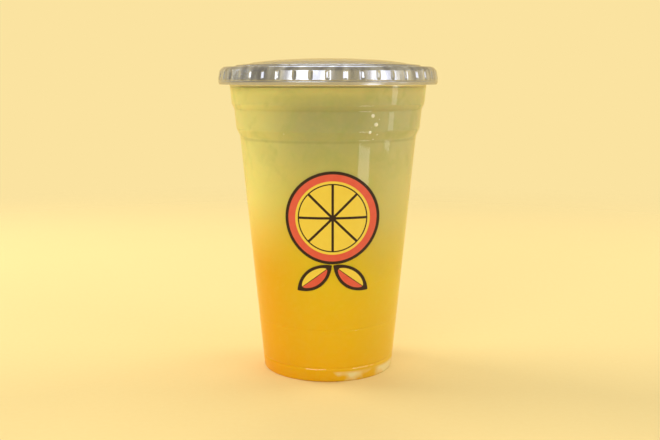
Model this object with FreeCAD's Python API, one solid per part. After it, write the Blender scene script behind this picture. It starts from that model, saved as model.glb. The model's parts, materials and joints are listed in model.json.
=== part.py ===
import FreeCAD, Part
import math
import os

# A lidded takeaway cup of lemonade, in millimetres: a thin clear cup thermoformed from one
# sheet, the drink that fills it, and a clear press-on lid with a ribbed skirt.
# +Z is up. The origin is on the cup's axis, in the plane that its foot stands on.

# Cup: overall sizes
cup_height = 139.6  # foot to the top of the rolled rim
rim_diameter = 98.0  # across the outside of the rolled rim
foot_diameter = 60.1  # across the wall where it meets the foot's plane
cup_wall = 0.45  # thickness of the formed sheet

# Cup: rolled rim
curl_radius = 1.4  # outer radius of the roll's section
curl_tuck = 110.0  # degrees that the roll turns on past its outermost point

# Cup: slanted steps of the wall, each with its middle's place below the rim's top, how far
# it widens the wall and the height that it takes
seat_drop, seat_step, seat_height = 6.2, 0.55, 1.2  # seat for the lid's plug
band_drop, band_step, band_height = 17.4, 0.95, 2.4  # upper end of the stacking band
shoulder_drop, shoulder_step, shoulder_height = 29.2, 1.3, 3.4  # stacking shoulder
step_round = 0.8  # rounding of the steps' corners

# Cup: lower ring and foot, with places above the foot's plane
ring_place, ring_depth = 24.0, 0.15  # shallow pressed line
groove_place, groove_depth = 6.2, 0.35  # crease over the foot
groove_half = 0.7  # half the height of the ring and of the groove
foot_width = 3.0  # across the hollow foot, between its two outer faces
foot_round = 0.9  # rounding under the foot
recess_height = 5.6  # free height under the base panel
recess_draft = 0.6  # how much narrower the recess is at its top
panel_round = 1.0  # rounding where the recess meets the base panel

# Drink
fill_drop = 9.3  # drink's level below the rim's top
meniscus_height = 0.7  # how far the drink climbs the wall
meniscus_width = 1.6  # how far from the wall it starts to climb

# Lid: sheet and clearances
lid_sheet = 0.35
lid_lift = 0.3  # free height between the rim and the lid's crest
rib_clearance = 0.2  # between the rim and the ribs that centre the lid on it
plug_clearance = 0.3  # between the cup's wall and the plug

# Lid: crest, skirt and lip
crest_inset = 0.6  # crest's outer corner, inside the rim's widest point
bevel_drop = 1.0  # foot of the bevel, below the rim's top
skirt_drop = 5.3  # lower end of the skirt, below the rim's top
skirt_flare = 0.7  # how much wider the skirt is there
neck_depth = 0.35  # crease between skirt and lip
neck_height = 0.35  # half the height of the crease
lip_height = 1.4  # bead under the crease
lip_tuck = 0.5  # how far the lip's edge turns in
neck_round = 0.15  # rounding of the crease's corners
lip_round = 0.4  # rounding of the lip's bulge
lid_round = 0.6  # rounding of the sheet's inner side at the lid's other corners

# Lid: ribs pressed into the skirt
rib_count = 44
rib_radius = 0.8  # of the round tool that presses a rib
rib_depth = 0.5  # how deep it goes
rib_margin = 0.75  # from the rib's ends to the ends of the skirt

# Lid: plug, channel and domed panel
plug_drop = 4.6  # channel floor below the rim's top
channel_width = 2.2
channel_draft = 0.5  # how much narrower the channel is at its floor, on the panel's side
panel_inset = 0.4  # panel's corner, inside the channel's mouth
panel_edge = 0.7  # panel's corner above the crest
panel_step_inset = 7.0  # middle of the panel's concentric step, in from the panel's corner
panel_step_width = 1.2
panel_step_rise = 0.35
outer_rise = 0.75  # rise of the panel from its corner to the step
dome_turn_inset = 16.5  # where the dome turns flatter, in from the panel's corner
dome_turn_rise = 1.2  # rise from the step to that turn
dome_rise = 2.0  # rise from the step to the middle
dome_round = 60.0  # rounding of the turn
disc_radius = 10.0  # pressed disc that holds the straw cross
disc_depth = 0.5
cross_length = 15.0  # of each cut of the straw cross
cross_width = 0.3

# Sizes that follow
rim_radius = rim_diameter / 2
foot_radius = foot_diameter / 2
curl_centre_radius = rim_radius - curl_radius
curl_centre_height = cup_height - curl_radius
wall_top_radius = curl_centre_radius - curl_radius + cup_wall  # outer face, where the roll starts
wall_steps = (
    (shoulder_drop, shoulder_step, shoulder_height),
    (band_drop, band_step, band_height),
    (seat_drop, seat_step, seat_height),
)
all_steps = sum(step for _, step, _ in wall_steps)
wall_slope = (wall_top_radius - foot_radius - all_steps) / curl_centre_height
level_height = cup_height - fill_drop
crest_height = cup_height + lid_lift + lid_sheet
skirt_top_radius = rim_radius + rib_clearance + rib_depth + lid_sheet
skirt_top = cup_height - bevel_drop
skirt_foot = cup_height - skirt_drop

centre = FreeCAD.Vector(0, 0, 0)
up = FreeCAD.Vector(0, 0, 1)


def point(radius, height):
    return FreeCAD.Vector(radius, 0, height)


def line(start, end):
    return Part.LineSegment(start, end).toShape()


def arc(middle, radius, start, end):
    """Arc in the profile's plane round a middle point, from one angle to another, in degrees."""
    def on_circle(angle):
        turn = math.radians(angle)
        return middle + point(radius * math.cos(turn), radius * math.sin(turn))
    return Part.Arc(on_circle(start), on_circle((start + end) / 2), on_circle(end)).toShape()


def rounded_path(corners):
    """Edges along (radius, height, rounding) corners, with a tangent arc at each rounded one."""
    places = [point(radius, height) for radius, height, _ in corners]
    edges = []
    start = places[0]
    for i in range(1, len(places) - 1):
        rounding = corners[i][2]
        if rounding:
            back = (places[i - 1] - places[i]).normalize()
            ahead = (places[i + 1] - places[i]).normalize()
            half = back.getAngle(ahead) / 2
            reach = rounding / math.tan(half)
            arc_start = places[i] + back * reach
            arc_end = places[i] + ahead * reach
            bulge = rounding / math.sin(half) - rounding
            arc_middle = places[i] + (back + ahead).normalize() * bulge
            edges.append(line(start, arc_start))
            edges.append(Part.Arc(arc_start, arc_middle, arc_end).toShape())
            start = arc_end
        else:
            edges.append(line(start, places[i]))
            start = places[i]
    edges.append(line(start, places[-1]))
    return edges


def turned(edges):
    """Solid of revolution about the Z axis from the edges of a closed profile."""
    wire = Part.Wire(Part.__sortEdges__(edges))
    return Part.Face(wire).revolve(centre, up, 360)


def wall_radius(height):
    """Radius of the wall's outer face at a height, before its corners are rounded."""
    radius = foot_radius + wall_slope * height
    for drop, step, step_height in wall_steps:
        low = cup_height - drop - step_height / 2
        radius += step * min(max((height - low) / step_height, 0), 1)
    return radius


def wall_corners(inset):
    """Corners of the wall from over the foot to under the roll, moved inwards by inset."""
    corners = []
    for place, depth in ((groove_place, groove_depth), (ring_place, ring_depth)):
        for offset, pressed in ((-groove_half, 0), (0, depth), (groove_half, 0)):
            height = place + offset
            corners.append((wall_radius(height) - pressed - inset, height, groove_half / 2))
    for drop, _, step_height in wall_steps:
        for offset in (-step_height / 2, step_height / 2):
            height = cup_height - drop + offset
            corners.append((wall_radius(height) - inset, height, step_round))
    return corners


def foot_corners(inset):
    """Corners from the axis over the base panel and round the foot, moved into the cup by inset."""
    rounding = foot_round - inset
    recess_radius = foot_radius - foot_width + inset
    return [
        (0, recess_height + inset, 0),
        (recess_radius - recess_draft, recess_height + inset, panel_round + inset),
        (recess_radius, inset, rounding),
        (wall_radius(inset) - inset, inset, rounding),
    ]


def make_cup():
    """One sheet: base panel, hollow foot, stepped wall and rolled rim."""
    edges = []
    for inset in (0, cup_wall):
        top = (wall_top_radius - inset, curl_centre_height, 0)
        edges += rounded_path(foot_corners(inset) + wall_corners(inset) + [top])
    roll = point(curl_centre_radius, curl_centre_height)
    roll_radii = (curl_radius - cup_wall, curl_radius)
    for radius in roll_radii:
        edges.append(arc(roll, radius, 180, -curl_tuck))
    turn = math.radians(-curl_tuck)
    outwards = point(math.cos(turn), math.sin(turn))
    edges.append(line(*(roll + outwards * radius for radius in roll_radii)))
    edges.append(line(point(0, recess_height), point(0, recess_height + cup_wall)))
    return turned(edges)


def make_drink():
    """The drink fills the cup to its level, meets the wall and climbs it a little."""
    edge_height = level_height + meniscus_height
    edge_radius = wall_radius(edge_height) - cup_wall
    corners = foot_corners(cup_wall)
    corners += [corner for corner in wall_corners(cup_wall) if corner[1] < edge_height]
    corners += [
        (edge_radius, edge_height, 0),
        (edge_radius - meniscus_width, level_height, meniscus_width),
        (0, level_height, 0),
    ]
    edges = rounded_path(corners)
    edges.append(line(point(0, level_height), point(0, recess_height + cup_wall)))
    return turned(edges)


def lid_corners(inset):
    """Corners of the lid from its middle to its lip, moved into the sheet by inset."""
    ridge = lid_round + lid_sheet - inset  # rounding where the sheet turns down
    hollow = lid_round + inset  # rounding where it turns up
    plug_radius = wall_top_radius - cup_wall - plug_clearance - lid_sheet + inset
    channel_floor = cup_height - plug_drop - inset
    plug_foot = wall_radius(channel_floor) - cup_wall - plug_clearance - lid_sheet + inset
    channel_inner = plug_radius - channel_width - 2 * inset
    panel_radius = channel_inner - panel_inset
    panel_height = crest_height + panel_edge - inset
    step_radius = panel_radius - panel_step_inset
    step_foot = panel_height + outer_rise
    step_top = step_foot + panel_step_rise
    disc_height = step_top + dome_rise - disc_depth
    lip_middle = skirt_foot - 2 * neck_height
    return [
        (0, disc_height, 0),
        (disc_radius, disc_height, hollow / 2),
        (disc_radius + disc_depth, disc_height + disc_depth, ridge / 2),
        (panel_radius - dome_turn_inset, step_top + dome_turn_rise, dome_round),
        (step_radius - panel_step_width / 2, step_top, ridge),
        (step_radius + panel_step_width / 2, step_foot, hollow),
        (panel_radius, panel_height, ridge),
        (channel_inner + channel_draft, channel_floor, hollow),
        (plug_foot, channel_floor, hollow),
        (plug_radius, crest_height - inset, ridge),
        (rim_radius - crest_inset - inset / 2, crest_height - inset, ridge),
        (skirt_top_radius - inset, skirt_top, ridge),
        (skirt_top_radius + skirt_flare - inset, skirt_foot, neck_round),
        (skirt_top_radius + skirt_flare - neck_depth - inset, skirt_foot - neck_height, neck_round),
        (skirt_top_radius + skirt_flare - inset, lip_middle, lip_round),
        (skirt_top_radius + skirt_flare - lip_tuck - inset, lip_middle - lip_height, 0),
    ]


def lid_body(inset, below):
    """All that lies under one side of the lid's sheet, down to the lip's edge or below it."""
    corners = lid_corners(inset)
    lip_radius, lip_edge, _ = corners[-1]
    floor = lip_edge - below
    if below:
        corners.append((lip_radius, floor, 0))
    corners.append((0, floor, 0))
    edges = rounded_path(corners)
    edges.append(line(point(0, floor), point(0, corners[0][1])))
    return turned(edges)


def round_rod(start, end, radius):
    """Rod with ball ends."""
    along = end - start
    rod = Part.makeCylinder(radius, along.Length, start, along)
    return rod.fuse([Part.makeSphere(radius, end_point) for end_point in (start, end)])


def rib_tools(radius):
    """A rod for each rib, lying along the skirt and pressed into it by the ribs' depth."""
    def axis_point(height):
        flare = skirt_flare * (skirt_top - height) / (skirt_top - skirt_foot)
        return point(skirt_top_radius + flare + rib_radius - rib_depth, height)

    reach = rib_margin + rib_radius
    rod = round_rod(axis_point(skirt_foot + reach), axis_point(skirt_top - reach), radius)
    tools = []
    for i in range(rib_count):
        tool = rod.copy()
        tool.rotate(centre, up, 360 * i / rib_count)
        tools.append(tool)
    return Part.makeCompound(tools)


def straw_cross():
    """Two thin cuts that cross in the middle of the lid."""
    cuts = []
    for angle in (45, 135):
        cut = Part.makeBox(cross_length, cross_width, crest_height)
        cut.translate(FreeCAD.Vector(-cross_length / 2, -cross_width / 2, skirt_foot))
        cut.rotate(centre, up, angle)
        cuts.append(cut)
    return Part.makeCompound(cuts)


def make_lid():
    """The sheet is what lies under its top side, less what lies under its underside."""
    outer = lid_body(0, 0).cut(rib_tools(rib_radius))
    inner = lid_body(lid_sheet, lip_height).cut(rib_tools(rib_radius + lid_sheet))
    return outer.cut(inner).cut(straw_cross())


os.makedirs("parts", exist_ok=True)
for name, shape in (("cup", make_cup()), ("drink", make_drink()), ("lid", make_lid())):
    if not shape.isValid() or len(shape.Solids) != 1:
        raise ValueError(f"{name} is not one valid solid")
    shape.Solids[0].exportStep(f"parts/{name}.step")
    print(f"{name}: {shape.Volume / 1000:.2f} cm3")
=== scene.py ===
import json
import math
import random

import bmesh
import bpy
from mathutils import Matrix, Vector

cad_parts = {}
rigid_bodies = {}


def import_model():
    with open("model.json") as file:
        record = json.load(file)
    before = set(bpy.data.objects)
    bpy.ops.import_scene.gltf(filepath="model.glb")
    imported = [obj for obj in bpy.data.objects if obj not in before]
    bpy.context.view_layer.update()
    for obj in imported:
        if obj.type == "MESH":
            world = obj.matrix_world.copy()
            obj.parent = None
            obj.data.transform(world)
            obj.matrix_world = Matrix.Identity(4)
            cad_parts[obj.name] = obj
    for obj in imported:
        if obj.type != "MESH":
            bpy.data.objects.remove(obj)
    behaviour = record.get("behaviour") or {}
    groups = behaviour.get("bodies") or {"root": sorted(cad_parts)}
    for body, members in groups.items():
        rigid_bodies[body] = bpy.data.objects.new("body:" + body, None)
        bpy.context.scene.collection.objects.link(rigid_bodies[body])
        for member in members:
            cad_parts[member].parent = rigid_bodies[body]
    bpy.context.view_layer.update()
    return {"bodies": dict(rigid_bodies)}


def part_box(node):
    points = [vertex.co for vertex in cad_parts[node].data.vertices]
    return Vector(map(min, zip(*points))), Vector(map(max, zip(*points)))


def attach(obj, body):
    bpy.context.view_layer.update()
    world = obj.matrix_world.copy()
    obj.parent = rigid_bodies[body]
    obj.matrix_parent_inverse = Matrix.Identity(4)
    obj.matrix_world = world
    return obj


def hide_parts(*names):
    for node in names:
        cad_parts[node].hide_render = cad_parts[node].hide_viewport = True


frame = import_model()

body = list(frame["bodies"])[0]  # cup, drink and lid are one body
mm = 0.001
fullTurn = 2 * math.pi
weld = 0.002 * mm  # points nearer than this count as one
lidWeld = 0.01 * mm  # the same where the lid's copies meet

cupLow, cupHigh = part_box("cup")
rimRadius = (cupHigh[0] - cupLow[0]) / 2
rimTop = cupHigh[2]
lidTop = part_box("lid")[1][2]


def srgb(hexColour):
    # a paint chart's hex value as the linear colour that nodes take
    parts = [int(hexColour[i:i + 2], 16) / 255 for i in (1, 3, 5)]
    linear = [p / 12.92 if p <= 0.04045 else ((p + 0.055) / 1.055) ** 2.4 for p in parts]
    return (*linear, 1)


def addNode(tree, kind, inputs=None, **settings):
    # one node; inputs gives each input by name or number a value or another node's output
    node = tree.nodes.new(kind)
    for key, value in settings.items():
        setattr(node, key, value)
    for key, value in (inputs or {}).items():
        if isinstance(value, bpy.types.NodeSocket):
            tree.links.new(value, node.inputs[key])
        else:
            node.inputs[key].default_value = value
    return node


def newMaterial(name):
    material = bpy.data.materials.new(name)
    material.use_nodes = True
    material.node_tree.nodes.clear()
    return material, material.node_tree


def deselectAll():
    if bpy.context.object and bpy.context.object.mode != "OBJECT":
        bpy.ops.object.mode_set(mode="OBJECT")
    bpy.ops.object.select_all(action="DESELECT")


def onlySelect(piece):
    deselectAll()
    piece.select_set(True)
    bpy.context.view_layer.objects.active = piece


def selectVerts(piece, test):
    # picks vertices in edit mode by their place
    bpy.ops.mesh.select_mode(type="VERT")
    bpy.ops.mesh.select_all(action="DESELECT")
    mesh = bmesh.from_edit_mesh(piece.data)
    for vert in mesh.verts:
        vert.select = bool(test(vert.co))
    mesh.select_flush_mode()
    bmesh.update_edit_mesh(piece.data)


def drawProfile(name, corners, roundSteps=4):
    # draws (radius, height, rounding) corners as a chain of edges and bevels the round ones
    deselectAll()
    bpy.ops.mesh.primitive_plane_add(size=mm)
    piece = bpy.context.object
    piece.name = name
    bpy.ops.object.mode_set(mode="EDIT")
    bpy.ops.mesh.select_mode(type="VERT")
    bpy.ops.mesh.merge(type="CENTER")
    places = [Vector((radius, 0, height)) for radius, height, _ in corners]
    bpy.ops.transform.translate(value=places[0])
    for before, after in zip(places, places[1:]):
        bpy.ops.mesh.extrude_region_move(TRANSFORM_OT_translate={"value": after - before})
    for place, (_, _, rounding) in zip(places, corners):
        if rounding:
            selectVerts(piece, lambda co: (co - place).length < weld)
            bpy.ops.mesh.bevel(offset=rounding, segments=roundSteps, affect="VERTICES")
    return piece


def spinProfile(steps, angle=fullTurn):
    bpy.ops.mesh.select_all(action="SELECT")
    bpy.ops.mesh.spin(steps=steps, angle=angle, center=(0, 0, 0), axis=(0, 0, 1))
    bpy.ops.mesh.select_all(action="SELECT")
    bpy.ops.mesh.remove_doubles(threshold=weld)


def faceOutwards(piece, probeHeight):
    # on an open sheet one wall face tells which way all of them point
    bpy.ops.mesh.select_all(action="SELECT")
    bpy.ops.mesh.normals_make_consistent(inside=False)
    mesh = bmesh.from_edit_mesh(piece.data)
    wall = min(mesh.faces, key=lambda f: abs(f.calc_center_median().z - probeHeight))
    centre = wall.calc_center_median()
    if wall.normal.x * centre.x + wall.normal.y * centre.y < 0:
        bpy.ops.mesh.flip_normals()
    bpy.ops.object.mode_set(mode="OBJECT")


def applyModifier(piece, kind, **settings):
    onlySelect(piece)
    modifier = piece.modifiers.new(kind, kind)
    for key, value in settings.items():
        setattr(modifier, key, value)
    bpy.ops.object.modifier_apply(modifier=modifier.name)


def finishPiece(piece, material, smoothAngle=40):
    onlySelect(piece)
    bpy.ops.object.shade_smooth_by_angle(angle=math.radians(smoothAngle))
    if not piece.data.materials:
        piece.data.materials.append(material)
    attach(piece, body)


# Camera: level with the lid, so that the foot's curve shows and the lid's does not
camera = {
    "distance": 430 * mm,
    "height": 135.5 * mm,
    "tilt": 5.36,  # degrees down
    "lens": 50.26,
    "shiftX": 0.003,
    "shiftY": -0.0855,
}


def makeCamera():
    place = (0, -camera["distance"], camera["height"])
    turn = (math.radians(90 - camera["tilt"]), 0, 0)
    deselectAll()
    bpy.ops.object.camera_add(location=place, rotation=turn)
    view = bpy.context.object
    view.data.lens = camera["lens"]
    view.data.shift_x = camera["shiftX"]
    view.data.shift_y = camera["shiftY"]
    view.data.clip_start = 10 * mm
    bpy.context.scene.camera = view


# Studio: a pale paper floor that fades into a pale surround, and soft boxes
studio = {
    "paper": "#FBE3A0",
    "paperGrain": "#F9DF9A",
    "grainSize": 2.5 * mm,  # real fibres are finer, this is as coarse as shows
    "paperRoughness": 0.9,
    "paperGloss": 0.1,
    "mirroredPaper": "#F5D27C",  # floor and surround as gloss and glass see them
    "surround": 1.0,  # strength of the surround as the camera, gloss and glass see it
    "ceiling": 0.55,  # the same overhead, for gloss and glass only
    "ceilingReach": (0.15, 0.60),  # where it starts and is full, as sines of the height angle
    "dimSide": 0.40,  # the surround on the left, for gloss and glass only
    "dimReach": (-0.70, -0.95),  # the same as places on the X axis of a unit ball
    "fill": 0.45,  # strength of the surround as a light
    "fillColour": "#FFFBF2",
    "floorSize": 3.0,
    "fadeReach": (0.30, 0.75),  # metres from the cup over which floor turns into surround
    "boxes": [  # name, place, size across and up, power, colour, and whether it only
        # lights the pieces, is only mirrored in them, or both
        ("keyBox", (-0.38, -0.95, 0.42), (0.72, 0.5), 3.5, "#FFFCF8", "both"),
        ("rightBox", (0.80, -0.50, 0.35), (0.5, 0.4), 1.3, "#F4F4FF", "both"),
        ("leftBackBox", (-0.90, 0.35, 0.50), (0.6, 0.6), 6.6, "#FFFBF2", "light"),
        ("rightBackBox", (0.90, 0.35, 0.50), (0.6, 0.6), 4.0, "#FFFBF2", "light"),
        ("topBox", (0.0, 0.40, 0.75), (0.4, 0.4), 1.3, "#FFFFFF", "both"),
        ("lowStrip", (0.293, -0.062, 0.056), (0.04, 0.05), 0.010, "#FFFFFF", "mirror"),
        ("lowCard", (0.135, -0.140, 0.030), (0.05, 0.05), 0.016, "#FFFFFF", "mirror"),
    ],
    "aim": (0, 0, 75 * mm),
}


def seenDirectly(tree):
    # 1 for what the camera sees itself, in a reflection or through clear plastic
    rays = addNode(tree, "ShaderNodeLightPath")
    gloss = addNode(tree, "ShaderNodeMath", {0: rays.outputs["Is Camera Ray"],
                    1: rays.outputs["Is Glossy Ray"]}, operation="MAXIMUM")
    seen = addNode(tree, "ShaderNodeMath", {0: gloss.outputs[0],
                   1: rays.outputs["Is Transmission Ray"]}, operation="MAXIMUM")
    return seen.outputs[0]


def makeSurround():
    world = bpy.data.worlds.new("paperStudio")
    bpy.context.scene.world = world
    world.use_nodes = True
    tree = world.node_tree
    tree.nodes.clear()
    space = addNode(tree, "ShaderNodeTexCoord")
    axes = addNode(tree, "ShaderNodeSeparateXYZ", {0: space.outputs["Generated"]})
    overhead = addNode(tree, "ShaderNodeMapRange", {"Value": axes.outputs["Z"],
                       "From Min": studio["ceilingReach"][0],
                       "From Max": studio["ceilingReach"][1],
                       "To Min": studio["surround"], "To Max": studio["ceiling"]},
                       interpolation_type="SMOOTHSTEP")
    dim = addNode(tree, "ShaderNodeMapRange", {"Value": axes.outputs["X"],
                  "From Min": studio["dimReach"][0], "From Max": studio["dimReach"][1],
                  "To Min": 1.0, "To Max": studio["dimSide"]},
                  interpolation_type="SMOOTHSTEP")
    mirrored = addNode(tree, "ShaderNodeMath", {0: overhead.outputs[0], 1: dim.outputs[0]},
                       operation="MULTIPLY")
    rays = addNode(tree, "ShaderNodeLightPath")
    seen = seenDirectly(tree)
    shown = addNode(tree, "ShaderNodeMix", {0: rays.outputs["Is Camera Ray"],
                    2: mirrored.outputs[0], 3: studio["surround"]})
    strength = addNode(tree, "ShaderNodeMix", {0: seen, 2: studio["fill"],
                       3: shown.outputs[0]})
    around = addNode(tree, "ShaderNodeMix", {0: rays.outputs["Is Camera Ray"],
                     6: srgb(studio["mirroredPaper"]), 7: srgb(studio["paper"])},
                     data_type="RGBA")
    tint = addNode(tree, "ShaderNodeMix", {0: seen, 6: srgb(studio["fillColour"]),
                   7: around.outputs[2]}, data_type="RGBA")
    light = addNode(tree, "ShaderNodeBackground", {"Color": tint.outputs[2],
                    "Strength": strength.outputs[0]})
    addNode(tree, "ShaderNodeOutputWorld", {"Surface": light.outputs[0]})


def paperMaterial():
    # uncoated paper from a wide roll: matte, with a faint grain
    material, tree = newMaterial("mattePaper")
    space = addNode(tree, "ShaderNodeTexCoord")
    grain = addNode(tree, "ShaderNodeTexNoise", {"Vector": space.outputs["Object"],
                    "Scale": 1 / studio["grainSize"], "Detail": 3})
    tint = addNode(tree, "ShaderNodeMix", {0: grain.outputs["Fac"],
                   6: srgb(studio["paperGrain"]), 7: srgb(studio["paper"])},
                   data_type="RGBA")
    rays = addNode(tree, "ShaderNodeLightPath")
    seen = addNode(tree, "ShaderNodeMix", {0: rays.outputs["Is Glossy Ray"],
                   6: tint.outputs[2], 7: srgb(studio["mirroredPaper"])}, data_type="RGBA")
    shader = addNode(tree, "ShaderNodeBsdfPrincipled", {"Base Color": seen.outputs[2],
                     "Roughness": studio["paperRoughness"],
                     "Specular IOR Level": studio["paperGloss"]})
    away = addNode(tree, "ShaderNodeVectorMath", {0: space.outputs["Object"]},
                   operation="LENGTH")
    fade = addNode(tree, "ShaderNodeMapRange", {"Value": away.outputs["Value"],
                   "From Min": studio["fadeReach"][0], "From Max": studio["fadeReach"][1]},
                   interpolation_type="SMOOTHSTEP")
    clear = addNode(tree, "ShaderNodeBsdfTransparent")
    mix = addNode(tree, "ShaderNodeMixShader", {0: fade.outputs[0], 1: shader.outputs[0],
                  2: clear.outputs[0]})
    addNode(tree, "ShaderNodeOutputMaterial", {"Surface": mix.outputs[0]})
    return material


def makeFloor():
    deselectAll()
    bpy.ops.mesh.primitive_plane_add(size=studio["floorSize"])
    floor = bpy.context.object
    floor.name = "paperFloor"
    floor.data.materials.append(paperMaterial())


def makeLamps():
    for name, place, size, power, colour, use in studio["boxes"]:
        deselectAll()
        bpy.ops.object.light_add(type="AREA", location=place)
        lamp = bpy.context.object
        lamp.name = name
        lamp.data.shape = "RECTANGLE"
        lamp.data.size, lamp.data.size_y = size
        lamp.data.energy = power
        lamp.data.color = srgb(colour)[:3]
        lamp.visible_camera = False
        lamp.visible_glossy = use != "light"
        lamp.visible_diffuse = use != "mirror"
        aim = Vector(studio["aim"]) - Vector(place)
        lamp.rotation_euler = aim.to_track_quat("-Z", "Y").to_euler()


# Clear PET: sheet drawn hot into a mould, so it is glossy, clear and faintly rippled
pet = {
    "index": 1.57,
    "gloss": 0.2,  # strength of the mirroring seen straight on
    "cupTint": "#F7F8F2",
    "lidTint": "#EDEEEA",
    "roughness": (0.03, 0.08),
    "rippleSize": 14 * mm,  # waves that the drawing leaves in the sheet
    "rippleDepth": 0.03 * mm,
}

# Painted reflection on the lid: a metallic layer, painted in dark and pale upright streaks and
# paler along the lip, stands in for what the clear sheet mirrors
lidPaintedReflection = {
    # painted reflection colours: the dark and pale ends of the streaks
    "dark": "#A6AFC8",
    "pale": "#DFEAFF",
    "lip": "#CBD2E2",  # painted reflection along the lid's lip
    "lipTop": 134.0 * mm,
    "lipBlend": 0.2 * mm,
    "streakSize": 4 * mm,  # about half of the way from rib to rib
    "streakStretch": 0.15,  # streaks run upright
    "streakEdge": (0.35, 0.65),
    "panelTone": 0.6,  # the flat panel, from dark to pale
    "panelShare": 0.35,  # share of the panel that the painted reflection layer covers
    "skirtShare": 0.70,  # and of the ribbed skirt
    "panelReach": (42 * mm, 45 * mm),  # radius over which panel turns into skirt
    "roughness": 0.23,
    "metallic": 0.75,
}


def paintedReflectionLayer(tree, space, bump):
    # the share of each place that the painted reflection layer covers, and the shader for it
    upright = addNode(tree, "ShaderNodeMapping", {"Vector": space.outputs["Object"],
                      "Scale": (1, 1, lidPaintedReflection["streakStretch"])})
    noise = addNode(tree, "ShaderNodeTexNoise", {"Vector": upright.outputs[0],
                    "Scale": 1 / lidPaintedReflection["streakSize"], "Detail": 2})
    paintedStreaks = addNode(tree, "ShaderNodeMapRange", {"Value": noise.outputs["Fac"],
                      "From Min": lidPaintedReflection["streakEdge"][0],
                      "From Max": lidPaintedReflection["streakEdge"][1]})
    flat = addNode(tree, "ShaderNodeVectorMath", {0: space.outputs["Object"],
                   1: (1, 1, 0)}, operation="MULTIPLY")
    away = addNode(tree, "ShaderNodeVectorMath", {0: flat.outputs[0]}, operation="LENGTH")
    skirt = addNode(tree, "ShaderNodeMapRange", {"Value": away.outputs["Value"],
                    "From Min": lidPaintedReflection["panelReach"][0],
                    "From Max": lidPaintedReflection["panelReach"][1]})
    tone = addNode(tree, "ShaderNodeMix", {0: skirt.outputs[0], 2: lidPaintedReflection["panelTone"],
                   3: paintedStreaks.outputs[0]})
    # painted reflection: dark to pale by the streaks, then paler along the lip
    paintedSilver = addNode(tree, "ShaderNodeMix", {0: tone.outputs[0], 6: srgb(lidPaintedReflection["dark"]),
                     7: srgb(lidPaintedReflection["pale"])}, data_type="RGBA")
    axes = addNode(tree, "ShaderNodeSeparateXYZ", {0: space.outputs["Object"]})
    lip = addNode(tree, "ShaderNodeMapRange", {"Value": axes.outputs["Z"],
                  "From Min": lidPaintedReflection["lipTop"] + lidPaintedReflection["lipBlend"],
                  "From Max": lidPaintedReflection["lipTop"] - lidPaintedReflection["lipBlend"]})
    grey = addNode(tree, "ShaderNodeMix", {0: lip.outputs[0], 6: paintedSilver.outputs[2],
                   7: srgb(lidPaintedReflection["lip"])}, data_type="RGBA")
    paintedReflectionShader = addNode(tree, "ShaderNodeBsdfPrincipled", {
        "Base Color": grey.outputs[2], "Roughness": lidPaintedReflection["roughness"],
        "Metallic": lidPaintedReflection["metallic"], "Normal": bump.outputs[0]})
    share = addNode(tree, "ShaderNodeMapRange", {"Value": skirt.outputs[0],
                    "To Min": lidPaintedReflection["panelShare"], "To Max": lidPaintedReflection["skirtShare"]})
    return share.outputs[0], paintedReflectionShader.outputs[0]


def petMaterial(name, tint, withPaintedReflection):
    material, tree = newMaterial(name)
    space = addNode(tree, "ShaderNodeTexCoord")
    ripple = addNode(tree, "ShaderNodeTexNoise", {"Vector": space.outputs["Object"],
                     "Scale": 1 / pet["rippleSize"], "Detail": 2})
    rough = addNode(tree, "ShaderNodeMapRange", {"Value": ripple.outputs["Fac"],
                    "To Min": pet["roughness"][0], "To Max": pet["roughness"][1]})
    bump = addNode(tree, "ShaderNodeBump", {"Height": ripple.outputs["Fac"], "Strength": 1.0,
                   "Distance": pet["rippleDepth"]})
    plastic = addNode(tree, "ShaderNodeBsdfPrincipled", {
        "Base Color": srgb(tint), "Roughness": rough.outputs[0], "IOR": pet["index"],
        "Specular IOR Level": pet["gloss"], "Transmission Weight": 1.0,
        "Normal": bump.outputs[0]})
    clear = addNode(tree, "ShaderNodeBsdfTransparent", {"Color": srgb(tint)})
    rays = addNode(tree, "ShaderNodeLightPath")
    lamps = addNode(tree, "ShaderNodeMath", {0: rays.outputs["Is Shadow Ray"],
                    1: rays.outputs["Is Diffuse Ray"]}, operation="MAXIMUM")
    mix = addNode(tree, "ShaderNodeMixShader", {0: lamps.outputs[0], 1: plastic.outputs[0],
                  2: clear.outputs[0]})  # lamps pass the thin sheet, as they do in life
    # a painted reflection layer laid over the clear sheet
    if withPaintedReflection:
        share, paintedReflectionShader = paintedReflectionLayer(tree, space, bump)
        mix = addNode(tree, "ShaderNodeMixShader", {0: share, 1: mix.outputs[0], 2: paintedReflectionShader})
    addNode(tree, "ShaderNodeOutputMaterial", {"Surface": mix.outputs[0]})
    return material


# Cup: heights are from the foot's plane, drops from the rim's top, all in millimetres
cup = {
    "wall": 0.45,
    "footRadius": 30.05,
    "footWidth": 3.0,
    "recessHeight": 5.6,
    "curlRadius": 1.4,
    "curlTuck": 110,  # degrees past the roll's outermost point
    "steps": [  # drop of the step's middle, rise in radius, height
        (29.2, 1.3, 3.4),
        (17.4, 0.95, 2.4),
        (6.2, 0.55, 1.2),
    ],
    "stepRound": 0.45,
    "grooves": [(6.2, 0.35), (24.0, 0.15)],  # height and depth
    "grooveHalf": 0.7,
    "grooveRound": 0.25,
    "footRound": 0.8,
    "recessDraft": 0.6,  # how much narrower the recess is at its top
    "panelRound": 0.9,  # where the recess meets the base panel
    "rollSteps": 18,
    "segments": 160,
}
cup["height"] = rimTop / mm
cup["curlHeight"] = cup["height"] - cup["curlRadius"]
cup["wallTop"] = rimRadius / mm - 2 * cup["curlRadius"] + cup["wall"]


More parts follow.
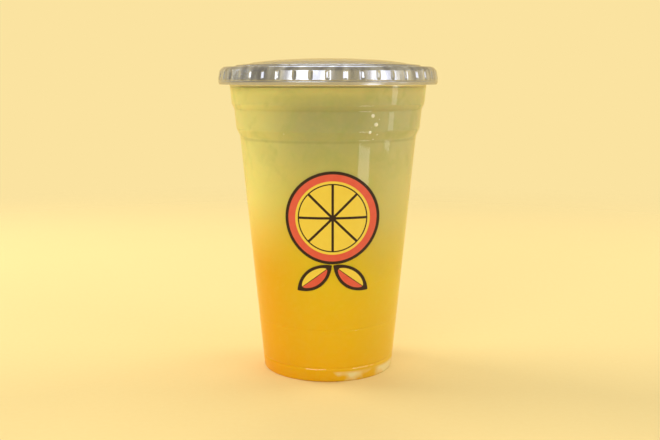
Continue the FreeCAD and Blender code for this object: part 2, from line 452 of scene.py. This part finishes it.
def wallRadius(height):
    allSteps = sum(rise for _, rise, _ in cup["steps"])
    slope = (cup["wallTop"] - cup["footRadius"] - allSteps) / cup["curlHeight"]
    radius = cup["footRadius"] + slope * height
    for drop, rise, tall in cup["steps"]:
        low = cup["height"] - drop - tall / 2
        radius += rise * min(max((height - low) / tall, 0), 1)
    return radius


def wallCorners(inset, top):
    # the wall from over the foot up to a height, moved inwards by inset
    corners = []
    for place, depth in cup["grooves"]:
        for offset, pressed in ((-1, 0), (0, depth), (1, 0)):
            height = place + offset * cup["grooveHalf"]
            corners.append((wallRadius(height) - pressed - inset, height,
                            cup["grooveRound"]))
    for drop, _, tall in cup["steps"]:
        for offset in (-tall / 2, tall / 2):
            height = cup["height"] - drop + offset
            corners.append((wallRadius(height) - inset, height, cup["stepRound"]))
    return [corner for corner in corners if corner[1] < top]


def footCorners(inset):
    recess = cup["footRadius"] - cup["footWidth"] + inset
    rounding = cup["footRound"] * (1 - inset)
    return [
        (0, cup["recessHeight"] + inset, 0),
        (recess - cup["recessDraft"], cup["recessHeight"] + inset, cup["panelRound"] + inset),
        (recess, inset, rounding),
        (wallRadius(inset) - inset, inset, rounding),
    ]


def inMetres(corners):
    return [(radius * mm, height * mm, rounding * mm) for radius, height, rounding in corners]


def makeCup(material):
    corners = footCorners(0) + wallCorners(0, cup["height"])
    rollRadius = cup["curlRadius"] - cup["wall"]
    rollCentre = (rimRadius / mm - cup["curlRadius"], cup["curlHeight"])
    for i in range(cup["rollSteps"] + 1):  # the roll goes up, over and under
        turn = math.radians(180 - (180 + cup["curlTuck"]) * i / cup["rollSteps"])
        corners.append((rollCentre[0] + rollRadius * math.cos(turn),
                        rollCentre[1] + rollRadius * math.sin(turn), 0))
    piece = drawProfile("clearCup", inMetres(corners))
    spinProfile(cup["segments"])
    faceOutwards(piece, rimTop / 2)
    applyModifier(piece, "SOLIDIFY", thickness=cup["wall"] * mm, offset=-1)
    finishPiece(piece, material)
    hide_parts("cup")
    return piece


# Juice: its colours by height, and painted light and reflection by side
juice = {
    "gradient": [  # height in millimetres, and colour
        (-12, "#F2AC06"),
        (0, "#F2B80C"),
        (18, "#F3C012"),
        (38, "#F0C616"),
        (52, "#ECC920"),
        (61, "#E5C530"),
        (69, "#DCC344"),
        (79, "#D3C45C"),
        (92, "#C9C16E"),
        (104, "#BAB878"),
        (114, "#ADAE7A"),
        (122, "#ABA976"),
        # painted light: the top stops are lighter to offset the lid's shadow on the juice
        (127, "#C2BD78"),
        (132, "#EBDE90"),
    ],
    "tilt": 0.30,  # rise of the layers from left to right
    "tiltReach": (100 * mm, 60 * mm),  # upright at the first height, leaning at the second
    "wander": 4 * mm,  # how far the layers move up and down
    "paintedLightReach": (45 * mm, 85 * mm),  # heights over which the painted side colours turn from their low to their high kind
    "leftReach": (-5 * mm, -36 * mm),  # from the axis towards the side
    "paintedLeftShare": 0.58,
    # painted light on the left: paler in the upper half, deeper orange in the lower half
    "paintedLeftLight": "#F8EE96",
    "paintedLeftOrange": "#E68E00",
    "rightReach": (8 * mm, 30 * mm),
    "paintedRightShare": (0.08, 0.32),  # low and high in the cup
    # painted reflection: a milky haze on the right
    "paintedRightReflection": "#EAE0B4",
    "cloudSize": 22 * mm,  # soft clouds of settled pulp
    "swirlSize": 9 * mm,  # curls of greener juice between them
    "swirlEdge": (0.48, 0.72),
    "swirlReach": (78 * mm, 108 * mm),
    "swirlShare": 0.30,
    "swirlGreen": "#9FAE5C",
    "stepLines": [(107.8, 0.20), (121.2, 0.12)],  # height in millimetres, and share
    "stepWidth": 1.0 * mm,
    "stepShade": "#7E7A3E",
    # painted highlight over the foot, in patches
    "footReach": (5 * mm, 3.5 * mm),
    "footHighlightShare": 0.8,
    "footEdge": (0.50, 0.58),
    "paintedFootHighlight": "#FFF0C8",
    "pulpSize": 2.2 * mm,  # real pulp is finer, this is as coarse as shows
    "pulpEdge": (0.45, 0.80),
    "pulpShare": 0.08,
    "pulpPale": "#F6DC74",
    "roughness": 0.4,
    "scatterShare": 0.3,
    "scatterDepth": 4 * mm,
}


def lemonadeMaterial():
    # cloudy lemon juice: its pulp gives the body colour and lets light in a few millimetres
    material, tree = newMaterial("cloudyLemonade")
    space = addNode(tree, "ShaderNodeTexCoord")
    axes = addNode(tree, "ShaderNodeSeparateXYZ", {0: space.outputs["Object"]})
    cloud = addNode(tree, "ShaderNodeTexNoise", {"Vector": space.outputs["Object"],
                    "Scale": 1 / juice["cloudSize"], "Detail": 3, "Roughness": 0.5})
    pulp = addNode(tree, "ShaderNodeTexNoise", {"Vector": space.outputs["Object"],
                   "Scale": 1 / juice["pulpSize"], "Detail": 2, "Roughness": 0.6})

    # the layers lean and wander a little
    drift = addNode(tree, "ShaderNodeMapRange", {"Value": cloud.outputs["Fac"],
                    "From Min": 0.3, "From Max": 0.7,
                    "To Min": -juice["wander"], "To Max": juice["wander"]})
    lean = addNode(tree, "ShaderNodeMath", {0: axes.outputs["X"], 1: juice["tilt"],
                   2: drift.outputs[0]}, operation="MULTIPLY_ADD")
    low = addNode(tree, "ShaderNodeMapRange", {"Value": axes.outputs["Z"],
                  "From Min": juice["tiltReach"][0], "From Max": juice["tiltReach"][1]})
    shift = addNode(tree, "ShaderNodeMath", {0: lean.outputs[0], 1: low.outputs[0]},
                    operation="MULTIPLY")
    height = addNode(tree, "ShaderNodeMath", {0: axes.outputs["Z"], 1: shift.outputs[0]})
    bottom, top = juice["gradient"][0][0], juice["gradient"][-1][0]
    place = addNode(tree, "ShaderNodeMapRange", {"Value": height.outputs[0],
                    "From Min": bottom * mm, "From Max": top * mm})
    ramp = addNode(tree, "ShaderNodeValToRGB", {0: place.outputs[0]})
    stops = ramp.color_ramp.elements
    stops.remove(stops[1])
    for i, (level, colour) in enumerate(juice["gradient"]):
        at = (level - bottom) / (top - bottom)
        stop = stops[0] if i == 0 else stops.new(at)
        stop.position = at
        stop.color = srgb(colour)

    # painted light by side: the left is painted paler in the upper half and deeper orange in the
    # lower half, and the right is painted with a milky reflection that grows with height
    # the height mask for the painted side colours
    thin = addNode(tree, "ShaderNodeMapRange", {"Value": axes.outputs["Z"],
                   "From Min": juice["paintedLightReach"][0], "From Max": juice["paintedLightReach"][1]},
                   interpolation_type="SMOOTHSTEP")
    left = addNode(tree, "ShaderNodeMapRange", {"Value": axes.outputs["X"],
                   "From Min": juice["leftReach"][0], "From Max": juice["leftReach"][1]},
                   interpolation_type="SMOOTHSTEP")
    right = addNode(tree, "ShaderNodeMapRange", {"Value": axes.outputs["X"],
                    "From Min": juice["rightReach"][0], "From Max": juice["rightReach"][1]},
                    interpolation_type="SMOOTHSTEP")
    paintedLeftHue = addNode(tree, "ShaderNodeMix", {0: thin.outputs[0], 6: srgb(juice["paintedLeftOrange"]),
                      7: srgb(juice["paintedLeftLight"])}, data_type="RGBA")
    paintedLeftShare = addNode(tree, "ShaderNodeMath", {0: left.outputs[0],
                        1: juice["paintedLeftShare"]}, operation="MULTIPLY")
    leftMix = addNode(tree, "ShaderNodeMix", {0: paintedLeftShare.outputs[0], 6: ramp.outputs[0],
                      7: paintedLeftHue.outputs[2]}, data_type="RGBA")
    rightMost = addNode(tree, "ShaderNodeMapRange", {"Value": thin.outputs[0],
                        "To Min": juice["paintedRightShare"][0], "To Max": juice["paintedRightShare"][1]})
    paintedRightShare = addNode(tree, "ShaderNodeMath", {0: rightMost.outputs[0], 1: right.outputs[0]},
                         operation="MULTIPLY")
    rightMix = addNode(tree, "ShaderNodeMix", {0: paintedRightShare.outputs[0], 6: leftMix.outputs[2],
                       7: srgb(juice["paintedRightReflection"])}, data_type="RGBA")

    # greener swirls in the upper half, and a shaded line under two of the wall's steps
    swirl = addNode(tree, "ShaderNodeTexNoise", {"Vector": space.outputs["Object"],
                    "Scale": 1 / juice["swirlSize"], "Detail": 3, "Distortion": 0.8})
    green = addNode(tree, "ShaderNodeMapRange", {"Value": swirl.outputs["Fac"],
                    "From Min": juice["swirlEdge"][0], "From Max": juice["swirlEdge"][1],
                    "To Max": juice["swirlShare"]})
    upper = addNode(tree, "ShaderNodeMapRange", {"Value": axes.outputs["Z"],
                    "From Min": juice["swirlReach"][0], "From Max": juice["swirlReach"][1]},
                    interpolation_type="SMOOTHSTEP")
    greenShare = addNode(tree, "ShaderNodeMath", {0: green.outputs[0], 1: upper.outputs[0]},
                         operation="MULTIPLY")
    tinted = addNode(tree, "ShaderNodeMix", {0: greenShare.outputs[0], 6: rightMix.outputs[2],
                     7: srgb(juice["swirlGreen"])}, data_type="RGBA")
    for level, most in juice["stepLines"]:
        away = addNode(tree, "ShaderNodeMath", {0: axes.outputs["Z"], 1: level * mm},
                       operation="SUBTRACT")
        near = addNode(tree, "ShaderNodeMath", {0: away.outputs[0]}, operation="ABSOLUTE")
        line = addNode(tree, "ShaderNodeMapRange", {"Value": near.outputs[0],
                       "From Max": juice["stepWidth"], "To Min": most, "To Max": 0.0},
                       interpolation_type="SMOOTHSTEP")
        tinted = addNode(tree, "ShaderNodeMix", {0: line.outputs[0], 6: tinted.outputs[2],
                         7: srgb(juice["stepShade"])}, data_type="RGBA")

    # painted highlight over the foot, in patches
    foot = addNode(tree, "ShaderNodeMapRange", {"Value": axes.outputs["Z"],
                   "From Min": juice["footReach"][0], "From Max": juice["footReach"][1],
                   "To Max": juice["footHighlightShare"]})
    patch = addNode(tree, "ShaderNodeMapRange", {"Value": cloud.outputs["Fac"],
                    "From Min": juice["footEdge"][0], "From Max": juice["footEdge"][1]})
    footHighlightShare = addNode(tree, "ShaderNodeMath", {0: foot.outputs[0], 1: patch.outputs[0]},
                        operation="MULTIPLY")
    footMix = addNode(tree, "ShaderNodeMix", {0: footHighlightShare.outputs[0], 6: tinted.outputs[2],
                      7: srgb(juice["paintedFootHighlight"])}, data_type="RGBA")

    grain = addNode(tree, "ShaderNodeMapRange", {"Value": pulp.outputs["Fac"],
                    "From Min": juice["pulpEdge"][0], "From Max": juice["pulpEdge"][1],
                    "To Max": juice["pulpShare"]})
    colour = addNode(tree, "ShaderNodeMix", {0: grain.outputs[0], 6: footMix.outputs[2],
                     7: srgb(juice["pulpPale"])}, data_type="RGBA")
    shader = addNode(tree, "ShaderNodeBsdfPrincipled", {
        "Base Color": colour.outputs[2], "Roughness": juice["roughness"],
        "Specular IOR Level": 0.0, "Subsurface Weight": juice["scatterShare"],
        "Subsurface Scale": juice["scatterDepth"]})
    addNode(tree, "ShaderNodeOutputMaterial", {"Surface": shader.outputs[0]})
    return material


# Drink: fills the cup, reaches a little into the wall and climbs it at the top, in
# millimetres
drink = {
    "reach": 0.2,  # into the wall
    "level": 130.3,
    "meniscus": 0.7,
    "meniscusWidth": 1.6,
    "meniscusRound": 0.8,
}

def makeDrink(material):
    inset = cup["wall"] - drink["reach"]
    edge = drink["level"] + drink["meniscus"]
    edgeRadius = wallRadius(edge) - inset
    corners = footCorners(inset) + wallCorners(inset, edge)
    corners += [
        (edgeRadius, edge, 0),
        (edgeRadius - drink["meniscusWidth"], drink["level"], drink["meniscusRound"]),
        (0, drink["level"], 0),
    ]
    piece = drawProfile("lemonade", inMetres(corners))
    spinProfile(cup["segments"])
    bpy.ops.mesh.normals_make_consistent(inside=False)
    bpy.ops.object.mode_set(mode="OBJECT")
    finishPiece(piece, material)
    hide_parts("drink")


# Lid: drops are from the rim's top, in millimetres
lid = {
    "sheet": 0.35,
    "lift": 0.3,
    "ribs": 44,
    "ribDepth": 0.5,
    "ribPress": (0.3, 0.2),  # the depth in two pushes, over three columns and then over one
    "ribColumns": 16,  # of mesh, in one rib's share of the skirt
    "ribMargin": 0.35,
    "ribClearance": 0.2,
    "plugClearance": 0.3,
    "crestInset": 0.6,
    "bevelDrop": 1.0,
    "bevelRound": 0.35,
    "skirtDrop": 5.3,
    "skirtFlare": 0.7,
    "skirtRows": 7,  # of mesh, between the ends of the skirt
    "skirtProbe": 3,  # drop of a place that lies on the skirt
    "neck": 0.35,
    "neckRounds": (0.1, 0.15),  # at the skirt's foot and in the crease
    "lipHeight": 1.4,
    "lipTuck": 0.5,
    "lipRound": 0.3,
    "plugDrop": 4.6,
    "channelWidth": 2.2,
    "channelDraft": 0.5,
    "panelInset": 0.4,
    "panelEdge": 0.7,
    "stepInset": 7.0,
    "stepWidth": 1.2,
    "stepRise": 0.35,
    "outerRise": 0.75,
    "turnInset": 16.5,
    "turnRise": 1.2,
    "domeRise": 2.0,
    "sheetRound": 0.6,  # of the channel's floor
    "panelRound": 0.8,  # of the panel's corner, the plug's top and the crest
    "stepRound": 0.3,
    "turnRound": 4,
    "discRadius": 10.0,
    "discDepth": 0.5,
    "discRound": 0.2,
    "discSheet": 8.2,  # radius of its middle, one flat face
    "slotLength": 15.0,  # the two cuts of the straw cross
    "slotWidth": 0.3,
    "slotDepth": 4,
    "slotTurns": (45, 135),
    "roundSteps": 3,
}


def lidCorners():
    crest = cup["height"] + lid["lift"] + lid["sheet"]
    plug = cup["wallTop"] - cup["wall"] - lid["plugClearance"] - lid["sheet"]
    channel = cup["height"] - lid["plugDrop"]
    plugFoot = wallRadius(channel) - cup["wall"] - lid["plugClearance"] - lid["sheet"]
    inner = plug - lid["channelWidth"]
    panel = inner - lid["panelInset"]
    step = panel - lid["stepInset"]
    stepFoot = crest + lid["panelEdge"] + lid["outerRise"]
    stepTop = stepFoot + lid["stepRise"]
    disc = stepTop + lid["domeRise"] - lid["discDepth"]
    skirt = rimRadius / mm + lid["ribClearance"] + lid["ribDepth"] + lid["sheet"]
    flared = skirt + lid["skirtFlare"]
    top = cup["height"] - lid["bevelDrop"]
    foot = cup["height"] - lid["skirtDrop"]
    lip = foot - 2 * lid["neck"]
    corners = [
        (lid["discSheet"], disc, 0),
        (lid["discRadius"], disc, lid["discRound"]),
        (lid["discRadius"] + lid["discDepth"], disc + lid["discDepth"], lid["discRound"]),
        (panel - lid["turnInset"], stepTop + lid["turnRise"], lid["turnRound"]),
        (step - lid["stepWidth"] / 2, stepTop, lid["stepRound"]),
        (step + lid["stepWidth"] / 2, stepFoot, lid["stepRound"]),
        (panel, crest + lid["panelEdge"], lid["panelRound"]),
        (inner + lid["channelDraft"], channel, lid["sheetRound"]),
        (plugFoot, channel, lid["sheetRound"]),
        (plug, crest, lid["panelRound"]),
        (rimRadius / mm - lid["crestInset"], crest, lid["panelRound"]),
        (skirt, top, lid["bevelRound"]),
    ]
    for i in range(1, lid["skirtRows"]):  # rows across the skirt for the ribs
        share = i / lid["skirtRows"]
        corners.append((skirt + lid["skirtFlare"] * share, top + (foot - top) * share, 0))
    corners += [
        (flared, foot, lid["neckRounds"][0]),
        (flared - lid["neck"], foot - lid["neck"], lid["neckRounds"][1]),
        (flared, lip, lid["lipRound"]),
        (flared - lid["lipTuck"], lip - lid["lipHeight"], 0),
    ]
    return corners


def makeLid(material):
    share = fullTurn / lid["ribs"]
    piece = drawProfile("clearLid", inMetres(lidCorners()), lid["roundSteps"])
    spinProfile(lid["ribColumns"], share)
    bpy.ops.object.mode_set(mode="OBJECT")
    side = 1 if sum(vert.co.y for vert in piece.data.vertices) < 0 else -1
    piece.rotation_euler.z = side * share / 2  # the rib's middle comes to lie on the X axis
    bpy.ops.object.transform_apply(rotation=True)
    bpy.ops.object.mode_set(mode="EDIT")
    column = share / lid["ribColumns"]
    low = (cup["height"] - lid["skirtDrop"] + lid["ribMargin"]) * mm
    high = (cup["height"] - lid["bevelDrop"] - lid["ribMargin"]) * mm

    def onRib(co, columns):
        angle = math.atan2(co.y, co.x)
        return co.x > rimRadius and low < co.z < high and abs(angle) < (columns + 0.5) * column

    for columns, push in zip((1, 0), lid["ribPress"]):  # columns to each side of the middle
        selectVerts(piece, lambda co: onRib(co, columns))
        bpy.ops.transform.translate(value=(-push * mm, 0, 0))
    bpy.ops.object.mode_set(mode="OBJECT")

    deselectAll()
    bpy.ops.object.empty_add(rotation=(0, 0, share))
    turner = bpy.context.object
    applyModifier(piece, "ARRAY", count=lid["ribs"], use_relative_offset=False,
                  use_object_offset=True, offset_object=turner, use_merge_vertices=True,
                  use_merge_vertices_cap=True, merge_threshold=lidWeld)
    bpy.data.objects.remove(turner)
    bpy.ops.object.mode_set(mode="EDIT")
    bpy.ops.mesh.select_all(action="SELECT")
    bpy.ops.mesh.remove_doubles(threshold=lidWeld)
    selectVerts(piece, lambda co: math.hypot(co.x, co.y) < lid["discSheet"] * mm + lidWeld)
    bpy.ops.mesh.edge_face_add()
    faceOutwards(piece, (cup["height"] - lid["skirtProbe"]) * mm)
    applyModifier(piece, "SOLIDIFY", thickness=lid["sheet"] * mm, offset=-1)
    for turn in lid["slotTurns"]:
        deselectAll()
        bpy.ops.mesh.primitive_cube_add(size=mm, location=(0, 0, lidTop),
            rotation=(0, 0, math.radians(turn)),
            scale=(lid["slotLength"], lid["slotWidth"], lid["slotDepth"]))
        blade = bpy.context.object
        applyModifier(piece, "BOOLEAN", operation="DIFFERENCE", object=blade, solver="EXACT")
        bpy.data.objects.remove(blade)
    finishPiece(piece, material)
    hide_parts("lid")


# Print: a citrus wheel over two leaves, one layer of ink on the cup's front, in millimetres
wheel = {
    "centre": (2.0, 75.0),  # across and up
    "radius": 20.5,
    "outline": 1.3,
    "rind": 3.0,
    "pith": 1.1,
    "gap": 0.55,  # half of the line between two segments
    "segments": 8,
    "corners": 96,
    "slack": 0.1,  # keeps the pith's edge out of the segments
}
leaves = {
    "stem": (2.0, 54.3),
    "half": 9.5,  # half the length
    "halfWidth": 4.6,
    "outline": 1.2,
    "tip": 2.4,  # the outline at the tip
    "midrib": 0.7,
    "blade": 0.62,  # share of half the length that both inner fields reach
    "taper": 0.4,  # less gives a blunter leaf
    "apart": 0.5,  # from the stem to a leaf
    "turns": (-142, -38),  # degrees from the right
    "corners": 48,
}
ink = {
    "colours": {  # where the ink lies thick, and where it lies thin
        "dark": ("#2A1A12", "#3A281C"),
        "coral": ("#DC4F3A", "#E66A50"),
        "lemon": ("#F3D850", "#F0D048"),
    },
    "mottleSize": 3.0,  # real mottle is finer, this is as coarse as shows
    "roughness": (0.35, 0.55),
    "gloss": 0.3,
    "stripWidth": 1.5,  # of mesh, so that the print bends round the cup
    "weld": 0.003,
    "ahead": 60,  # the print is drawn this far in front of the cup's axis
    "sunk": 0.03,  # in the wall
    "thickness": 0.07,  # with what is sunk, a little more than real ink
}


def inkMaterial(name):
    # screen-printed ink: satin, a little uneven where the mesh laid it down
    thick, thin = ink["colours"][name]
    material, tree = newMaterial(name + "Ink")
    space = addNode(tree, "ShaderNodeTexCoord")
    uneven = addNode(tree, "ShaderNodeTexNoise", {"Vector": space.outputs["Object"],
                     "Scale": 1 / (ink["mottleSize"] * mm), "Detail": 3})
    tint = addNode(tree, "ShaderNodeMix", {0: uneven.outputs["Fac"], 6: srgb(thick),
                   7: srgb(thin)}, data_type="RGBA")
    rough = addNode(tree, "ShaderNodeMapRange", {"Value": uneven.outputs["Fac"],
                    "To Min": ink["roughness"][0], "To Max": ink["roughness"][1]})
    shader = addNode(tree, "ShaderNodeBsdfPrincipled", {"Base Color": tint.outputs[2],
                     "Roughness": rough.outputs[0], "Specular IOR Level": ink["gloss"]})
    addNode(tree, "ShaderNodeOutputMaterial", {"Surface": shader.outputs[0]})
    return material


def selectFaces(piece, test):
    bpy.ops.mesh.select_mode(type="FACE")
    bpy.ops.mesh.select_all(action="DESELECT")
    mesh = bmesh.from_edit_mesh(piece.data)
    for face in mesh.faces:
        face.select = bool(test(face.calc_center_median()))
    bmesh.update_edit_mesh(piece.data)


def giveInk(piece, name):
    piece.active_material_index = list(ink["colours"]).index(name)
    bpy.ops.object.material_slot_assign()


def flatDisc(name, radius, corners, inks):
    # a disc that faces the front, all dark to begin with
    deselectAll()
    bpy.ops.mesh.primitive_circle_add(vertices=corners, radius=radius, fill_type="TRIFAN",
                                      rotation=(math.radians(90), 0, 0))
    piece = bpy.context.object
    piece.name = name
    bpy.ops.object.transform_apply(rotation=True)
    for material in inks:
        piece.data.materials.append(material)
    bpy.ops.object.mode_set(mode="EDIT")
    return piece


def drawWheel(inks):
    piece = flatDisc("printedWheel", wheel["radius"] * mm, wheel["corners"], inks)
    bpy.ops.mesh.select_all(action="SELECT")
    for band, within in (("outline", "coral"), ("rind", "lemon"), ("pith", "dark")):
        bpy.ops.mesh.inset(thickness=wheel[band] * mm)
        giveInk(piece, within)
    inner = wheel["radius"] - wheel["outline"] - wheel["rind"] - wheel["pith"]
    share = fullTurn / wheel["segments"]
    for i in range(wheel["segments"]):
        middle = (i + 0.5) * share

        def inSegment(centre):
            across = math.atan2(centre.z, centre.x) - middle
            across = (across + math.pi) % fullTurn - math.pi
            return centre.length < (inner - wheel["slack"]) * mm and abs(across) < share / 2

        selectFaces(piece, inSegment)
        bpy.ops.mesh.inset(thickness=wheel["gap"] * mm)
        giveInk(piece, "lemon")
    bpy.ops.object.mode_set(mode="OBJECT")
    across, up = wheel["centre"]
    piece.location = (across * mm, 0, up * mm)
    bpy.ops.object.transform_apply(location=True)
    return piece


def drawLeaf(name, turn, inks):
    # insets are made on a plain disc, which is then pulled into a leaf
    half = leaves["half"]
    piece = flatDisc(name, half * mm, leaves["corners"], inks)
    bpy.ops.mesh.select_all(action="SELECT")
    bpy.ops.mesh.inset(thickness=leaves["outline"] * mm)
    inner = half - leaves["outline"]
    bpy.ops.transform.resize(value=((half - leaves["tip"]) / inner, 1,
                             half * (1 - leaves["outline"] / leaves["halfWidth"]) / inner))
    for side in (1, -1):  # both halves of the blade, with the midrib left between them
        selectFaces(piece, lambda centre: side * centre.z > 0
                    and centre.length < leaves["blade"] * half * mm)
        bpy.ops.mesh.inset(thickness=leaves["midrib"] / 2 * mm)
        giveInk(piece, "lemon" if side * math.cos(math.radians(turn)) > 0 else "coral")
    mesh = bmesh.from_edit_mesh(piece.data)
    for vert in mesh.verts:
        along = min(abs(vert.co.x) / (half * mm), 1)
        vert.co.z *= leaves["halfWidth"] / half * (1 - along ** 2) ** leaves["taper"]
    bmesh.update_edit_mesh(piece.data)
    bpy.ops.object.mode_set(mode="OBJECT")
    angle = math.radians(turn)
    piece.rotation_euler.y = -angle
    reach = half + leaves["apart"]
    piece.location = ((leaves["stem"][0] + reach * math.cos(angle)) * mm, 0,
                      (leaves["stem"][1] + reach * math.sin(angle)) * mm)
    bpy.ops.object.transform_apply(location=True, rotation=True)
    return piece


def makePrint(cupPiece):
    inks = [inkMaterial(name) for name in ink["colours"]]
    parts = [drawWheel(inks)]
    for i, turn in enumerate(leaves["turns"]):
        parts.append(drawLeaf("printedLeaf" + str(i), turn, inks))
    deselectAll()
    for part in parts:
        part.select_set(True)
    piece = parts[0]
    bpy.context.view_layer.objects.active = piece
    bpy.ops.object.join()
    piece.name = "frontPrint"
    piece.location.y = -ink["ahead"] * mm
    bpy.ops.object.transform_apply(location=True)

    # narrow upright strips let the flat print bend round the cup
    bpy.ops.object.mode_set(mode="EDIT")
    low = min(vert.co.x for vert in piece.data.vertices)
    high = max(vert.co.x for vert in piece.data.vertices)
    cut = low + ink["stripWidth"] * mm
    while cut < high:
        bpy.ops.mesh.select_all(action="SELECT")
        bpy.ops.mesh.bisect(plane_co=(cut, 0, 0), plane_no=(1, 0, 0))
        cut += ink["stripWidth"] * mm
    bpy.ops.mesh.select_all(action="SELECT")
    bpy.ops.mesh.remove_doubles(threshold=ink["weld"] * mm)
    bpy.ops.object.mode_set(mode="OBJECT")
    applyModifier(piece, "SHRINKWRAP", target=cupPiece, wrap_method="PROJECT",
                  use_project_y=True, use_negative_direction=False, use_positive_direction=True)
    applyModifier(piece, "SOLIDIFY", thickness=ink["thickness"] * mm,
                  offset=1 - 2 * ink["sunk"] / ink["thickness"])
    finishPiece(piece, inks[0], smoothAngle=30)


# Bubbles: beads of gas held by the wall's inside, as (across, up, radius) in millimetres
bubbles = {
    "cluster": [(19.0, 119.2, 1.0), (20.4, 115.4, 1.1), (17.8, 112.2, 0.8), (21.8, 117.6, 0.5),
                (18.4, 114.2, 0.45), (20.9, 111.2, 0.5), (17.0, 116.6, 0.4), (19.2, 109.2, 0.45),
                (20.2, 121.0, 0.4), (22.2, 113.4, 0.35), (16.6, 110.0, 0.35)],
    "loose": 26,  # more beads, strewn within these ranges
    "looseAcross": (-34, 34),
    "looseUp": (84, 128),
    "looseRadius": (0.18, 0.38),
    "pulp": [(24.6, 101.0, 0.3), (25.8, 99.4, 0.22), (24.0, 98.6, 0.2), (26.6, 100.6, 0.2),
             (-13.5, 103.5, 0.3), (-14.6, 106.0, 0.22), (-22.0, 118.8, 0.2)],
    "seed": 7,
    "depth": 0.45,  # share of the radius, across the wall
    "stretch": (0.9, 1.3),  # upwards
    # the gas is clear: its pale cream is a painted highlight
    "gasHighlightColours": ("#E9E2C2", "#FFFDF2"),
    "pulpColours": ("#6E6434", "#8A7C40"),
    "mottleSize": 0.5,
    "roughness": 0.12,
    "gloss": 0.8,
}


def beadMaterial(name, dark, pale):
    # gas or wet pulp pressed to the clear wall: glossy, the gas painted pale as a highlight and
    # the pulp dark
    material, tree = newMaterial(name)
    space = addNode(tree, "ShaderNodeTexCoord")
    mottle = addNode(tree, "ShaderNodeTexNoise", {"Vector": space.outputs["Object"],
                     "Scale": 1 / (bubbles["mottleSize"] * mm), "Detail": 1})
    tint = addNode(tree, "ShaderNodeMix", {0: mottle.outputs["Fac"], 6: srgb(dark),
                   7: srgb(pale)}, data_type="RGBA")
    shader = addNode(tree, "ShaderNodeBsdfPrincipled", {"Base Color": tint.outputs[2],
                     "Roughness": bubbles["roughness"],
                     "Specular IOR Level": bubbles["gloss"]})
    addNode(tree, "ShaderNodeOutputMaterial", {"Surface": shader.outputs[0]})
    return material


def makeBeads(name, beads, material):
    draw = random.Random(bubbles["seed"])
    made = []
    for across, up, radius in beads:
        wall = wallRadius(up) - cup["wall"]
        turn = math.asin(across / wall) - math.pi / 2
        deselectAll()
        bpy.ops.mesh.primitive_ico_sphere_add(subdivisions=2, radius=radius * mm,
            location=(wall * math.cos(turn) * mm, wall * math.sin(turn) * mm, up * mm),
            rotation=(0, 0, turn),
            scale=(bubbles["depth"], 1, draw.uniform(*bubbles["stretch"])))
        made.append(bpy.context.object)
    deselectAll()
    for bead in made:
        bead.select_set(True)
    bpy.context.view_layer.objects.active = made[0]
    bpy.ops.object.join()
    piece = bpy.context.object
    piece.name = name
    bpy.ops.object.transform_apply(location=True, rotation=True, scale=True)
    finishPiece(piece, material, smoothAngle=180)


def makeBubbles():
    draw = random.Random(bubbles["seed"])
    beads = list(bubbles["cluster"])
    for _ in range(bubbles["loose"]):
        beads.append((draw.uniform(*bubbles["looseAcross"]), draw.uniform(*bubbles["looseUp"]),
                      draw.uniform(*bubbles["looseRadius"])))
    makeBeads("gasBeads", beads, beadMaterial("gasBead", *bubbles["gasHighlightColours"]))
    makeBeads("pulpBits", bubbles["pulp"], beadMaterial("wetPulp", *bubbles["pulpColours"]))


bpy.context.scene.view_settings.view_transform = "Standard"
makeCamera()
makeSurround()
makeFloor()
makeLamps()
print("camera and studio ready")
clearCup = makeCup(petMaterial("clearPetCup", pet["cupTint"], False))
print("cup ready")
makeDrink(lemonadeMaterial())
print("drink ready")
makeLid(petMaterial("clearPetLid", pet["lidTint"], True))
print("lid ready")
makePrint(clearCup)
makeBubbles()
print("print and bubbles ready")
